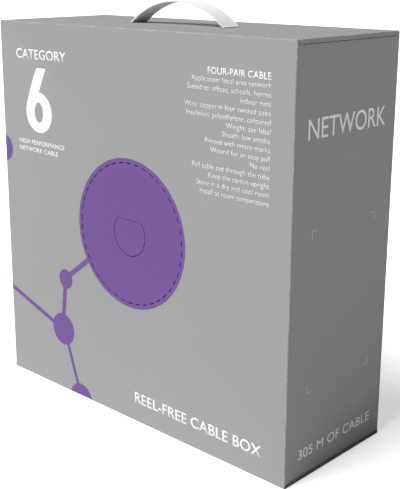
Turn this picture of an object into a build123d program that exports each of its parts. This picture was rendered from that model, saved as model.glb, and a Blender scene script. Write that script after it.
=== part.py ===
"""Reel-free network cable box: a corrugated carton with a tuck lid and a strap handle.

Inside it is a wound coil of cable. The front panel has a perforated knockout disc with a push-in thumb tab.
Behind the disc, a payout tube sits in the coil's bore.
Frame: +Z up, -Y towards the front panel, origin at the centre of the underside. Units are millimetres.
"""

import os
from math import cos, pi, radians, sin, sqrt

from build123d import *

# Carton, outside sizes
BOX_WIDTH = 400.0
BOX_DEPTH = 152.0
BOX_HEIGHT = 400.0
BOARD = 4.0
CORNER_RADIUS = 1.6
JOINT_GAP = 0.3

# Flaps
GLUE_FLAP_WIDTH = 35.0
TUCK_DEPTH = 32.0
TUCK_GAP = 1.2
TUCK_SIDE_GAP = 1.5
TUCK_CORNER_RADIUS = 12.0
DUST_TIP_GAP = 4.0
DUST_BACK_SLOPE = 0.56
DUST_BACK_MARGIN = 1.5
DUST_FRONT_GAP = 0.6
DUST_FRONT_TAPER = 6.0
DUST_TIP_RADIUS = 8.0

# Knockout disc in the front panel, and the thumb tab in the disc
KNOCKOUT_RADIUS = 72.4
KNOCKOUT_RISE = 1.6
KERF = 1.2
TIE_COUNT = 42
TIE_SHARE = 0.45
TIE_CLEARANCE = 0.1
TAB_RADIUS = 22.5
TAB_FLAT_HEIGHT = 15.1
TAB_SLIT = 0.7
TAB_CREASE_GAP = 0.3
TAB_CORNER_RADIUS = 3.0

# Strap handle: the raised arch above the lid, its slots and its T-shaped ends
STRAP_SPAN = 127.0
STRAP_RISE = 23.4
STRAP_WIDTH = 22.0
STRAP_THICKNESS = 1.6
STRAP_BEND_RADIUS = 4.0
SLOT_CLEARANCE = 0.9
SLOT_BEND_ROOM = 1.3
LOAD_PLATE_THICKNESS = 3.0
LOAD_PLATE_MARGIN = 30.0
LOAD_PLATE_WIDTH = 64.0
LOAD_PLATE_CORNER = 8.0
END_LENGTH = 18.0
END_INNER_LENGTH = 6.0
END_WIDTH = 40.0
END_THICKNESS = 3.0
END_CORNER_RADIUS = 4.0
END_GAP = 0.5

# Coil of cable and its film
COIL_TOP_GAP = 1.7
COIL_SIDE_GAP = 2.5
COIL_END_GAP = 7.0
COIL_BORE_CLEARANCE = 5.0
COIL_EDGE_RADIUS = 9.0
FILM_THICKNESS = 0.4
FILM_WIDTH_SHARE = 0.7

# Payout tube
RIM_CLEARANCE = 1.5
RIM_THICKNESS = 2.5
RIM_STANDOFF = 0.4
TUBE_WALL = 2.2
THROAT_RADIUS = 34.0
FUNNEL_DEPTH = 48.0
FUNNEL_CURVE = 0.12
THROAT_LENGTH = 9.0
LUG_COUNT = 3
LUG_ANGLE = 34.0
LUG_OVERLAP = 2.5
LUG_THICKNESS = 2.5
LUG_PLAY = 0.6

# Planes and places that follow from the sizes above
FRONT = -BOX_DEPTH / 2
BACK = BOX_DEPTH / 2
SIDE = BOX_WIDTH / 2
FRONT_INNER = FRONT + BOARD
BACK_INNER = BACK - BOARD
SIDE_INNER = SIDE - BOARD
LID_UNDERSIDE = BOX_HEIGHT - BOARD
DUST_TOP = LID_UNDERSIDE - JOINT_GAP
DUST_UNDERSIDE = DUST_TOP - BOARD
LID_FRONT = FRONT_INNER + TUCK_GAP
TUCK_INNER = LID_FRONT + BOARD
PLATE_UNDERSIDE = LID_UNDERSIDE - LOAD_PLATE_THICKNESS
COIL_BOTTOM = BOARD + JOINT_GAP + FILM_THICKNESS
COIL_RADIUS = min((PLATE_UNDERSIDE - COIL_TOP_GAP - COIL_BOTTOM) / 2, SIDE_INNER - COIL_SIDE_GAP)
COIL_CENTRE = COIL_BOTTOM + COIL_RADIUS
COIL_HALF_WIDTH = BACK_INNER - COIL_END_GAP
COIL_BORE_RADIUS = KNOCKOUT_RADIUS + LUG_OVERLAP + COIL_BORE_CLEARANCE
PAYOUT_HEIGHT = COIL_CENTRE + KNOCKOUT_RISE
LOAD_PLATE_HALF = STRAP_SPAN / 2 + LOAD_PLATE_MARGIN


def block(x, y, z):
    """A box between two corners, each of x, y and z given as (low, high)."""
    size = [high - low for low, high in (x, y, z)]
    middle = [(high + low) / 2 for low, high in (x, y, z)]
    return Pos(*middle) * Box(*size)


def facing_front(sketch, y_low, y_high):
    """A sketch drawn in X and Z about the knockout's centre, made solid from y_low to y_high."""
    plane = Plane(origin=(0, y_high, PAYOUT_HEIGHT), x_dir=(1, 0, 0), z_dir=(0, -1, 0))
    return extrude(plane * sketch, y_high - y_low)


def lying_flat(sketch, z_low, z_high):
    """A sketch drawn in X and Y, made solid from z_low to z_high."""
    return extrude(Plane.XY.offset(z_low) * sketch, z_high - z_low)


def mirrored(part):
    """The same piece on the carton's other side."""
    return mirror(part, about=Plane.YZ)


def upright_edges(part, y):
    """The vertical edges of a panel that lie in the plane of that y."""
    return part.edges().filter_by(Axis.Z).filter_by_position(Axis.Y, y - 0.01, y + 0.01)


# Carton walls


def front_panel():
    panel = block((-SIDE, SIDE), (FRONT, FRONT_INNER), (BOARD, BOX_HEIGHT))
    panel = fillet(upright_edges(panel, FRONT), CORNER_RADIUS)
    return panel - facing_front(Circle(KNOCKOUT_RADIUS), FRONT - 1, FRONT_INNER + 1)


def back_panel():
    panel = block((-SIDE, SIDE), (BACK_INNER, BACK), (BOARD, LID_UNDERSIDE))
    return fillet(upright_edges(panel, BACK), CORNER_RADIUS)


def side_panel():
    """The right wall: its top steps up beside the dust flap's root, which stops short of both ends."""
    wall = block((SIDE_INNER, SIDE), (FRONT_INNER, BACK_INNER), (2 * BOARD, DUST_UNDERSIDE))
    shoulder_end = dust_front() - JOINT_GAP
    shoulder = block((SIDE_INNER, SIDE), (FRONT_INNER, shoulder_end), (DUST_UNDERSIDE, DUST_TOP))
    return wall + shoulder


def glue_flap():
    """The maker's joint: a strip folded off the left wall and glued inside the back panel."""
    low, high = 2 * BOARD + JOINT_GAP, DUST_UNDERSIDE - JOINT_GAP
    return block((-SIDE_INNER, -SIDE_INNER + GLUE_FLAP_WIDTH), (BACK_INNER - BOARD, BACK_INNER), (low, high))


def bottom_minor_flap():
    """The right inner bottom flap, half the depth long, glued down on the major flaps."""
    length = BOX_DEPTH / 2 - BOARD
    return block((SIDE - length, SIDE), (FRONT_INNER, BACK_INNER), (BOARD, 2 * BOARD))


def bottom_major_flap(towards):
    """An outer bottom flap, from the front or the back wall to the seam in the middle."""
    y = (FRONT, -JOINT_GAP / 2) if towards < 0 else (JOINT_GAP / 2, BACK)
    flap = block((-SIDE, SIDE), y, (0, BOARD))
    outer = FRONT if towards < 0 else BACK
    creased = flap.edges().filter_by(Axis.X).filter_by_position(Axis.Y, outer - 0.01, outer + 0.01)
    return fillet(creased.sort_by(Axis.Z)[0], CORNER_RADIUS)


# Lid, tuck flap and dust flaps


def dust_front():
    """Where the front edge of a dust flap starts, behind the tuck flap."""
    return TUCK_INNER + DUST_FRONT_GAP


def handle_slots(z_low, z_high):
    """The two slots for the strap's legs, each with room on its inner side for the bend."""
    size_x = STRAP_THICKNESS + SLOT_BEND_ROOM + 2 * SLOT_CLEARANCE
    size_y = STRAP_WIDTH + 2 * SLOT_CLEARANCE
    middle = leg_x() - SLOT_BEND_ROOM / 2
    slots = Sketch() + [Pos(side * middle, 0) * Rectangle(size_x, size_y) for side in (-1, 1)]
    return lying_flat(slots, z_low, z_high)


def lid_panel():
    panel = block((-SIDE, SIDE), (LID_FRONT, BACK), (LID_UNDERSIDE, BOX_HEIGHT))
    creased = panel.edges().filter_by(Axis.X).group_by(Axis.Z)[-1]
    panel = fillet(creased, CORNER_RADIUS)
    return panel - handle_slots(LID_UNDERSIDE - 1, BOX_HEIGHT + 1)


def lid_tuck_flap():
    half = SIDE_INNER - TUCK_SIDE_GAP
    flap = block((-half, half), (LID_FRONT, TUCK_INNER), (LID_UNDERSIDE - TUCK_DEPTH, LID_UNDERSIDE))
    lower = flap.edges().filter_by(Axis.Y).group_by(Axis.Z)[0]
    return fillet(lower, min(TUCK_CORNER_RADIUS, 0.9 * TUCK_DEPTH))


def dust_flap():
    """The right dust flap. Its back edge slants so that it stays under the lid while both open."""
    tip = LOAD_PLATE_HALF + DUST_TIP_GAP
    root_back = BACK_INNER - JOINT_GAP
    straight = (BACK - root_back - DUST_BACK_MARGIN) / DUST_BACK_SLOPE
    tip_back = BACK - DUST_BACK_MARGIN - DUST_BACK_SLOPE * (SIDE - tip)
    outline = [
        (SIDE, dust_front()),
        (SIDE, root_back),
        (SIDE - straight, root_back),
        (tip, tip_back),
        (tip, dust_front() + DUST_FRONT_TAPER),
    ]
    face = make_face(Polyline(*outline, close=True))
    tip_corners = face.vertices().group_by(Axis.X)[0]
    return lying_flat(fillet(tip_corners, DUST_TIP_RADIUS), DUST_UNDERSIDE, DUST_TOP)


# Knockout disc and thumb tab


def knockout_blank():
    """The disc's outline: the kerf round it is bridged by small ties."""
    tie_width = TIE_SHARE * 2 * pi * KNOCKOUT_RADIUS / TIE_COUNT
    reach = KNOCKOUT_RADIUS - TIE_CLEARANCE
    bars = Sketch() + [
        Rot(0, 0, 360 * i / TIE_COUNT) * Pos(reach - KERF, 0) * Rectangle(4 * KERF, tie_width)
        for i in range(TIE_COUNT)
    ]
    return Circle(KNOCKOUT_RADIUS - KERF) + (bars & Circle(reach))


def tab_outline(slit, crease_gap):
    """A circle with a flat top and two rounded corners, smaller by the slit, and by the gap at its flat."""
    radius = TAB_RADIUS - slit
    flat = TAB_FLAT_HEIGHT - crease_gap
    lower_part = Pos(0, flat - radius) * Rectangle(2 * radius + 1, 2 * radius)
    outline = Circle(radius) & lower_part
    return fillet(outline.vertices().group_by(Axis.Y)[-1], TAB_CORNER_RADIUS)


def knockout_disc():
    return facing_front(knockout_blank() - tab_outline(0, 0), FRONT, FRONT_INNER)


def thumb_tab():
    return facing_front(tab_outline(TAB_SLIT, TAB_CREASE_GAP), FRONT, FRONT_INNER)


# Strap handle


def arch_radius():
    """Radius of the strap's middle line, from its span and rise above the lid."""
    half = STRAP_SPAN / 2
    return (half * half + STRAP_RISE * STRAP_RISE) / (2 * STRAP_RISE)


def leg_x():
    """Where the strap's upright legs stand, each side of the middle."""
    return STRAP_SPAN / 2


def end_top():
    """The top of a T-shaped end, just under the load plate."""
    return PLATE_UNDERSIDE - END_GAP


def strap_face(offset):
    """One face of the strap seen from the front, at that offset from its middle line."""
    radius = arch_radius() + offset
    centre = BOX_HEIGHT + STRAP_RISE - arch_radius()
    x = leg_x() + offset
    foot = centre + sqrt(radius * radius - x * x)
    return [
        Line((-x, end_top()), (-x, foot)),
        ThreePointArc((-x, foot), (0, centre + radius), (x, foot)),
        Line((x, foot), (x, end_top())),
    ]


def handle_strap():
    """The arch above the lid and its two legs, which pass down through the slots."""
    half = STRAP_THICKNESS / 2
    inner, outer = leg_x() - half, leg_x() + half
    leg_ends = [Line((side * inner, end_top()), (side * outer, end_top())) for side in (-1, 1)]
    face = make_face(Curve() + strap_face(half) + strap_face(-half) + leg_ends)
    feet = [corner for corner in face.vertices() if corner.Y > LID_UNDERSIDE]
    face = fillet(feet, STRAP_BEND_RADIUS)
    upright = Plane(origin=(0, 0, 0), x_dir=(1, 0, 0), z_dir=(0, -1, 0))
    return extrude(upright * face, STRAP_WIDTH / 2, both=True)


def handle_end():
    """The right T-shaped end, wider than the slot, that hooks under the load plate."""
    x_low = leg_x() - END_INNER_LENGTH
    outline = Pos(x_low + END_LENGTH / 2, 0) * RectangleRounded(END_LENGTH, END_WIDTH, END_CORNER_RADIUS)
    return lying_flat(outline, end_top() - END_THICKNESS, end_top())


def handle_load_plate():
    """A stiff plate glued under the lid, that spreads the load of the T-shaped ends."""
    outline = RectangleRounded(2 * LOAD_PLATE_HALF, LOAD_PLATE_WIDTH, LOAD_PLATE_CORNER)
    plate = lying_flat(outline, PLATE_UNDERSIDE, LID_UNDERSIDE)
    return plate - handle_slots(PLATE_UNDERSIDE - 1, LID_UNDERSIDE + 1)


# Coil and its film


def round_about_bore(radius, y_low, y_high):
    """A cylinder along Y about the coil's centre."""
    return Pos(0, (y_low + y_high) / 2, COIL_CENTRE) * Rot(90, 0, 0) * Cylinder(radius, y_high - y_low)


def cable_coil():
    """The wound cable, with no reel, that pays out from the inside of its bore."""
    body = round_about_bore(COIL_RADIUS, -COIL_HALF_WIDTH, COIL_HALF_WIDTH)
    body = fillet(body.edges().filter_by(GeomType.CIRCLE), COIL_EDGE_RADIUS)
    return body - round_about_bore(COIL_BORE_RADIUS, -COIL_HALF_WIDTH - 1, COIL_HALF_WIDTH + 1)


def coil_wrap_film():
    """A band of stretch film round the middle of the coil."""
    half = FILM_WIDTH_SHARE * COIL_HALF_WIDTH
    return round_about_bore(COIL_RADIUS + FILM_THICKNESS, -half, half) - round_about_bore(
        COIL_RADIUS, -half - 1, half + 1
    )


# Payout tube


def bowed(start, end, bow):
    """An arc from start to end whose middle lies off the straight line by that share of its length."""
    run_r, run_y = end[0] - start[0], end[1] - start[1]
    middle = ((start[0] + end[0]) / 2 + bow * run_y, (start[1] + end[1]) / 2 - bow * run_r)
    return ThreePointArc(start, middle, end)


def funnel_profile(rim_radius, neck_radius, lug_back):
    """Half of the tube's section, as radius and Y: rim, neck, bell and throat."""
    rim_front = FRONT_INNER + RIM_STANDOFF
    rim_back = rim_front + RIM_THICKNESS
    funnel_end = rim_front + FUNNEL_DEPTH
    tube_end = funnel_end + THROAT_LENGTH
    mouth = neck_radius - TUBE_WALL
    outer_throat = THROAT_RADIUS + TUBE_WALL
    return Curve() + [
        Polyline(
            (mouth, lug_back - TUBE_WALL),
            (mouth, rim_front),
            (rim_radius, rim_front),
            (rim_radius, rim_back),
            (neck_radius, rim_back),
            (neck_radius, lug_back),
        ),
        bowed((neck_radius, lug_back), (outer_throat, funnel_end), -FUNNEL_CURVE),
        Polyline(
            (outer_throat, funnel_end),
            (outer_throat, tube_end),
            (THROAT_RADIUS, tube_end),
            (THROAT_RADIUS, funnel_end),
        ),
        bowed((THROAT_RADIUS, funnel_end), (mouth, lug_back - TUBE_WALL), FUNNEL_CURVE),
    ]


def snap_lugs(neck_radius, lug_front, lug_back):
    """Part-rings round the neck, wider than the hole, that stay behind the front panel."""
    lug_radius = KNOCKOUT_RADIUS + LUG_OVERLAP
    ring = facing_front(Circle(lug_radius) - Circle(neck_radius - TUBE_WALL / 2), lug_front, lug_back)
    half = radians(LUG_ANGLE / 2)
    far_x, far_z = 2 * lug_radius * cos(half), 2 * lug_radius * sin(half)
    wedge = make_face(Polyline((0, 0), (far_x, far_z), (far_x, -far_z), close=True))
    wedges = Sketch() + [Rot(0, 0, 90 + 360 * i / LUG_COUNT) * wedge for i in range(LUG_COUNT)]
    return ring & facing_front(wedges, lug_front - 1, lug_back + 1)


def payout_tube():
    """A funnel whose rim fits through the knockout hole and whose lugs don't."""
    rim_radius = KNOCKOUT_RADIUS - RIM_CLEARANCE
    neck_radius = rim_radius - LUG_OVERLAP
    lug_front = FRONT_INNER + RIM_STANDOFF + RIM_THICKNESS + BOARD + LUG_PLAY
    lug_back = lug_front + LUG_THICKNESS
    profile = make_face(funnel_profile(rim_radius, neck_radius, lug_back))
    funnel = Pos(0, 0, PAYOUT_HEIGHT) * revolve(profile, Axis.Y, 360)
    return funnel + snap_lugs(neck_radius, lug_front, lug_back)


def parts():
    """Every piece by its name."""
    right_wall, right_minor = side_panel(), bottom_minor_flap()
    right_dust, right_end = dust_flap(), handle_end()
    return {
        "front_panel": front_panel(),
        "back_panel": back_panel(),
        "right_side_panel": right_wall,
        "left_side_panel": mirrored(right_wall),
        "glue_flap": glue_flap(),
        "bottom_minor_flap_right": right_minor,
        "bottom_minor_flap_left": mirrored(right_minor),
        "bottom_major_flap_front": bottom_major_flap(-1),
        "bottom_major_flap_back": bottom_major_flap(1),
        "lid_panel": lid_panel(),
        "lid_tuck_flap": lid_tuck_flap(),
        "dust_flap_right": right_dust,
        "dust_flap_left": mirrored(right_dust),
        "knockout_disc": knockout_disc(),
        "thumb_tab": thumb_tab(),
        "handle_strap": handle_strap(),
        "handle_end_right": right_end,
        "handle_end_left": mirrored(right_end),
        "handle_load_plate": handle_load_plate(),
        "cable_coil": cable_coil(),
        "coil_wrap_film": coil_wrap_film(),
        "payout_tube": payout_tube(),
    }


os.makedirs("parts", exist_ok=True)
for name, shape in parts().items():
    export_step(shape, f"parts/{name}.step")
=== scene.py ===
import math
import random
from collections import namedtuple

import bmesh
import bpy
from bpy.props import FloatProperty, FloatVectorProperty, IntProperty, PointerProperty
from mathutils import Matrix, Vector


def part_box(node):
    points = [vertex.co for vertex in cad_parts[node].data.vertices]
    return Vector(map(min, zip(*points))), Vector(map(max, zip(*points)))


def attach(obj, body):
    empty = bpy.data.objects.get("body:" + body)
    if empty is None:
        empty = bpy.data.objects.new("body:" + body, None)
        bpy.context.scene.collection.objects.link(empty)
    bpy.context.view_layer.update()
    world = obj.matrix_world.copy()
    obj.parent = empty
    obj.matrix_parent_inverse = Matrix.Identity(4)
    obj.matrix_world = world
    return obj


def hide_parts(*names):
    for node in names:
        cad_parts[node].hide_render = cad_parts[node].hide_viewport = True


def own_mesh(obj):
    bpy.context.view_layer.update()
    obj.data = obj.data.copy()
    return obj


bl_info = {
    "name": "Network cable box",
    "version": (1, 0, 0),
    "blender": (4, 5, 0),
    "location": "View3D > Sidebar > Cable box",
    "description": "Builds the boards, print, strap, coil and payout tube of a cable box",
    "category": "Object",
}

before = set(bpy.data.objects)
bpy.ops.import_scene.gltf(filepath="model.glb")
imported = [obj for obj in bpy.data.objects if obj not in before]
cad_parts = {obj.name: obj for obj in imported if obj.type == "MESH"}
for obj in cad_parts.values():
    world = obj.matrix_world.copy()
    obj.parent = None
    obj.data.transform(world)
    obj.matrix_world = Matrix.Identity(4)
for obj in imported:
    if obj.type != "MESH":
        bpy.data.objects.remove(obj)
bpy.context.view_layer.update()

AXIS = {"X": 0, "Y": 1, "Z": 2}
MM = 0.001
BORE_CLEARANCE = 5 * MM
WELD = 1e-6  # points closer than this are one
OUTLINE_STRETCH = 1.0006  # keeps a cutter's sides clear of the board's own
THROUGH_STRETCH = 1.5  # carries a cutter right through the board
STRAP_THICKNESS = 1.6 * MM
CAPITAL = 0.70  # height of a capital in the built-in font at size 1
KEY_TRAVEL = (0.26, 0.52, -0.81)
FILL_TRAVEL = (0.50, -0.80, -0.33)
CAMERA_PLACE = (1.6791, -1.7390, 1.1456)  # in box widths
CAMERA_TURN = math.radians(44.04)
CAMERA_TILT = math.radians(14.80)
CAMERA_SHIFT = (0.0365, -0.0555)


# ---- settings


def length(name, description, millimetres):
    """A length property, given in millimetres."""
    return FloatProperty(name=name, description=description, default=millimetres * MM, unit="LENGTH")


def colour(name, description, value):
    """A colour property, as linear red, green and blue."""
    return FloatVectorProperty(
        name=name, description=description, default=value, subtype="COLOR", size=3, min=0, max=1
    )


def number(name, description, value):
    """A plain number property."""
    return FloatProperty(name=name, description=description, default=value)


class BoardSettings(bpy.types.PropertyGroup):
    """Sizes and colours of the corrugated board."""

    liner: length("Liner", "Thickness of the outer and inner paper liners", 0.45)
    medium: length("Medium", "Thickness of the fluted paper", 0.3)
    flute_pitch: length("Flute pitch", "Distance from one flute to the next", 7.9)
    crease_radius: length("Crease radius", "Outer radius where a board folds", 1.0)
    dust_radius: length("Dust flap radius", "Outer radius of the fold from a side to its dust flap", 0.5)
    wear_width: length("Wear width", "How far the scuffs reach from an edge", 2.2)
    printed: colour("Printed grey", "The flood coat on the outer liner", (0.300, 0.300, 0.301))
    bare: colour("Bare liner", "The unprinted inner liner", (0.335, 0.318, 0.292))
    fluting: colour("Fluting", "The fluted paper between the liners", (0.270, 0.250, 0.222))
    # Painted shade: darkens the die-cut slits, the wall of the disc's hole and the disc's cut edge, tinted
    # purple.
    cut: colour("Cut-edge shade", "How much darker the fine die-cut slits are", (0.34, 0.19, 0.60))
    scuffed: colour("Scuffed", "White paper where the print has rubbed off", (0.62, 0.62, 0.61))


class PrintSettings(bpy.types.PropertyGroup):
    """Inks and their thickness."""

    purple: colour("Purple", "Ink of the disc and of the network graphic", (0.143, 0.073, 0.262))
    white: colour("White", "Lettering", (0.86, 0.86, 0.86))
    grey: colour("Pale grey", "Marks for a label", (0.55, 0.55, 0.55))
    lift: length("Lift", "Gap between the board and the ink", 0.03)
    film: length("Film", "Thickness of the ink", 0.05)
    thinning: number("Thinning", "Weight of the small print, under 0 for finer", -0.012)


class StrapSettings(bpy.types.PropertyGroup):
    """The strap handle."""

    plastic: colour("Plastic", "Moulded white plastic", (0.93, 0.93, 0.93))
    border: length("Border", "Width of the raised border along the strap", 2.6)
    recess: length("Recess", "Depth of the panel inside the border", 0.3)
    edge: length("Edge", "Rounding of the strap's edges", 0.35)


class CoilSettings(bpy.types.PropertyGroup):
    """The wound cable."""

    cable: length("Cable", "Diameter of the cable", 6.1)
    jacket: colour("Jacket", "Violet sheath", (0.150, 0.078, 0.290))
    loops: IntProperty(name="Loops", description="Cross-wound loops in the outer layer", default=48)
    bore_loops: IntProperty(name="Bore loops", description="Cross-wound loops in the bore", default=22)


class StageSettings(bpy.types.PropertyGroup):
    """Floor, light and camera."""

    floor_radius: length("Floor radius", "Radius of the floor", 40000)
    key: number("Key light", "Strength of the soft key light", 4.1)
    fill: number("Fill light", "Strength of the soft light from behind", 0.42)
    softness: FloatProperty(
        name="Softness",
        description="Apparent width of the key light",
        default=math.radians(46),
        subtype="ANGLE",
    )
    ambient: number("Ambient", "Strength of the light from all round", 0.05)
    glow: number("Glow", "How much the floor's shadows are lifted", 0.5)
    lens: number("Lens", "Focal length of the camera in millimetres", 70.65)


class CableBoxSettings(bpy.types.PropertyGroup):
    """All settings of the cable box."""

    board: PointerProperty(type=BoardSettings, name="Board", description="Corrugated board")
    print: PointerProperty(type=PrintSettings, name="Print", description="Inks")
    strap: PointerProperty(type=StrapSettings, name="Strap", description="Strap handle")
    coil: PointerProperty(type=CoilSettings, name="Coil", description="Wound cable")
    stage: PointerProperty(type=StageSettings, name="Stage", description="Floor, light and camera")


# ---- modelling


def deselect():
    """Leave edit mode and select nothing."""
    if bpy.context.object and bpy.context.object.mode != "OBJECT":
        bpy.ops.object.mode_set(mode="OBJECT")
    bpy.ops.object.select_all(action="DESELECT")


def select_only(*objects):
    """Select these objects, the first of them active."""
    deselect()
    for each in objects:
        each.select_set(True)
    bpy.context.view_layer.objects.active = objects[0]


def apply_place(obj):
    """Move the object's place, turn and size into its mesh."""
    select_only(obj)
    bpy.ops.object.transform_apply(location=True, rotation=True, scale=True)
    return obj


def named(obj, name):
    """Give the object and its mesh one name."""
    obj.name = name
    obj.data.name = name
    return obj


def block(name, low, high):
    """A box between two corners."""
    low, high = Vector(low), Vector(high)
    deselect()
    bpy.ops.mesh.primitive_cube_add(size=1, location=(low + high) / 2)
    obj = named(bpy.context.object, name)
    obj.scale = high - low
    return apply_place(obj)


def edit(obj, kind, test):
    """Enter edit mode with the faces, edges or vertices selected that pass the test."""
    select_only(obj)
    bpy.ops.object.mode_set(mode="EDIT")
    bpy.ops.mesh.select_mode(type=kind)
    bpy.ops.mesh.select_all(action="DESELECT")
    mesh = bmesh.from_edit_mesh(obj.data)
    members = {"FACE": mesh.faces, "EDGE": mesh.edges, "VERT": mesh.verts}[kind]
    for member in members:
        if test(member):
            member.select_set(True)
    mesh.select_flush_mode()
    bmesh.update_edit_mesh(obj.data)


def leave_edit():
    bpy.ops.object.mode_set(mode="OBJECT")


def apply_modifier(obj, kind, **settings):
    """Add one modifier, set it and apply it."""
    select_only(obj)
    modifier = obj.modifiers.new(kind.title(), kind)
    for key, value in settings.items():
        setattr(modifier, key, value)
    bpy.ops.object.modifier_apply(modifier=modifier.name)
    return obj


def joined(name, objects):
    """Join the objects into the first."""
    select_only(*objects)
    if len(objects) > 1:
        bpy.ops.object.join()
    return named(bpy.context.object, name)


def smooth(obj, degrees=40):
    select_only(obj)
    bpy.ops.object.shade_smooth_by_angle(angle=math.radians(degrees))
    return obj


def weld(obj):
    """Merge points that coincide, and turn the normals outward."""
    edit(obj, "VERT", lambda vertex: True)
    bpy.ops.mesh.remove_doubles(threshold=WELD)
    bpy.ops.mesh.normals_make_consistent(inside=False)
    leave_edit()


def coat(obj, *materials):
    """Give a new piece these materials and no others."""
    obj.data.materials.clear()
    for material in materials:
        obj.data.materials.append(material)
    return obj


def centre_of(node):
    low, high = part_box(node)
    return (low + high) / 2


def finished(obj, body, slot, *nodes):
    """The piece rides on its body and stands for its nodes. Its slot is not used."""
    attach(obj, body)
    if nodes:
        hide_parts(*nodes)
    return obj


# ---- shader building blocks


def feed(tree, made, inputs):
    """Set a node's inputs, or link them from a socket. _0 means the first input."""
    for key, value in inputs.items():
        numbered = key[0] == "_" and key[1:].isdigit()
        socket = made.inputs[int(key[1:]) if numbered else key.replace("_", " ")]
        if isinstance(value, bpy.types.NodeSocket):
            tree.links.new(value, socket)
        else:
            socket.default_value = value
    return made


def add_node(tree, kind, setup=None, **inputs):
    """Add a shader node. setup sets its own values."""
    made = tree.nodes.new(kind)
    for key, value in (setup or {}).items():
        setattr(made, key, value)
    return feed(tree, made, inputs)


def calc(tree, operation, *values):
    """Arithmetic on numbers."""
    inputs = {f"_{i}": value for i, value in enumerate(values)}
    return add_node(tree, "ShaderNodeMath", {"operation": operation}, **inputs).outputs[0]


def vec(tree, operation, *values, out=0):
    """Arithmetic on vectors."""
    inputs = {f"_{i}": value for i, value in enumerate(values)}
    return add_node(tree, "ShaderNodeVectorMath", {"operation": operation}, **inputs).outputs[out]


def mix_colour(tree, factor, first, second, blend="MIX"):
    """Mix two colours. Sockets 6 and 7 are the colour inputs, and output 2 the colour."""
    setup = {"data_type": "RGBA", "blend_type": blend}
    return add_node(tree, "ShaderNodeMix", setup, _0=factor, _6=first, _7=second).outputs[2]


def ramp(tree, value, low, high):
    """A smooth step from 0 at low to 1 at high."""
    setup = {"interpolation_type": "SMOOTHSTEP"}
    return add_node(tree, "ShaderNodeMapRange", setup, _0=value, _1=low, _2=high).outputs[0]


def object_place(tree, kind="Object"):
    return tree.nodes.new("ShaderNodeTexCoord").outputs[kind]


def noise(tree, place, scale, detail=3.0, roughness=0.55):
    given = {"Vector": place, "Scale": scale, "Detail": detail, "Roughness": roughness}
    return add_node(tree, "ShaderNodeTexNoise", None, **given).outputs[0]


def opaque(rgb):
    return (*rgb, 1.0)


def group(name, inputs, outputs):
    """A shader node group with named sockets. inputs are (name, kind, default), outputs (name, kind)."""
    tree = bpy.data.node_groups.new(name, "ShaderNodeTree")
    for label, kind, default in inputs:
        socket = tree.interface.new_socket(name=label, in_out="INPUT", socket_type="NodeSocket" + kind)
        socket.default_value = default
    for label, kind in outputs:
        tree.interface.new_socket(name=label, in_out="OUTPUT", socket_type="NodeSocket" + kind)
    entry = tree.nodes.new("NodeGroupInput")
    leaving = tree.nodes.new("NodeGroupOutput")
    return tree, entry.outputs, leaving.inputs


def use_group(tree, name, **inputs):
    made = tree.nodes.new("ShaderNodeGroup")
    made.node_tree = bpy.data.node_groups[name]
    return feed(tree, made, inputs).outputs


def paper_grain_group():
    """Mottled fibres: a varied colour, a roughness and a height."""
    tree, given, out = group(
        "Paper grain",
        [("Color", "Color", (0.5, 0.5, 0.5, 1)), ("Mottle", "Float", 0.1), ("Fibre scale", "Float", 900.0)],
        [("Color", "Color"), ("Roughness", "Float"), ("Height", "Float")],
    )
    place = object_place(tree)
    stretched = vec(tree, "MULTIPLY", place, (1.0, 1.0, 0.22))
    fibres = noise(tree, stretched, given["Fibre scale"], 4.0, 0.65)
    specks = noise(tree, place, 2600.0, 2.0)
    clouds = noise(tree, place, 9.0, 3.0)
    mottle = calc(tree, "ADD", fibres, calc(tree, "MULTIPLY", clouds, 0.7))
    spread = calc(tree, "SUBTRACT", mottle, 0.85)
    factor = calc(tree, "MULTIPLY_ADD", spread, given["Mottle"], 1.0)
    varied = vec(tree, "SCALE", given["Color"])
    tree.links.new(factor, varied.node.inputs["Scale"])
    dark_speck = ramp(tree, specks, 0.70, 0.78)
    speckled = mix_colour(tree, calc(tree, "MULTIPLY", dark_speck, 0.10), varied, (0.05, 0.05, 0.05, 1))
    tree.links.new(speckled, out["Color"])
    tree.links.new(calc(tree, "MULTIPLY_ADD", fibres, 0.22, 0.62), out["Roughness"])
    tree.links.new(fibres, out["Height"])


def edge_wear_group():
    """A mask near the edges of a box, broken up by noise, from the corners of that box."""
    tree, given, out = group(
        "Edge wear",
        [
            ("Low", "Vector", (0, 0, 0)),
            ("High", "Vector", (1, 1, 1)),
            ("Width", "Float", 0.002),
            ("Amount", "Float", 0.5),
        ],
        [("Mask", "Float")],
    )
    place = object_place(tree)
    from_low = vec(tree, "SUBTRACT", place, given["Low"])
    from_high = vec(tree, "SUBTRACT", given["High"], place)
    inside = vec(tree, "MINIMUM", from_low, from_high)
    part = add_node(tree, "ShaderNodeSeparateXYZ", None, _0=inside).outputs
    smaller = calc(tree, "MINIMUM", part[0], part[1])
    larger = calc(tree, "MAXIMUM", part[0], part[1])
    second = calc(tree, "MAXIMUM", smaller, calc(tree, "MINIMUM", larger, part[2]))
    near = calc(tree, "SUBTRACT", 1.0, calc(tree, "DIVIDE", second, given["Width"]))
    patches = noise(tree, place, 38.0, 4.0, 0.7)
    fine = noise(tree, place, 420.0, 3.0, 0.7)
    rough_edge = calc(tree, "ADD", near, calc(tree, "MULTIPLY_ADD", fine, 1.1, -0.75))
    rubbed = calc(tree, "MULTIPLY", ramp(tree, rough_edge, 0.35, 0.75), ramp(tree, patches, 0.46, 0.62))
    tree.links.new(calc(tree, "MULTIPLY", rubbed, given["Amount"]), out["Mask"])


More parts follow.
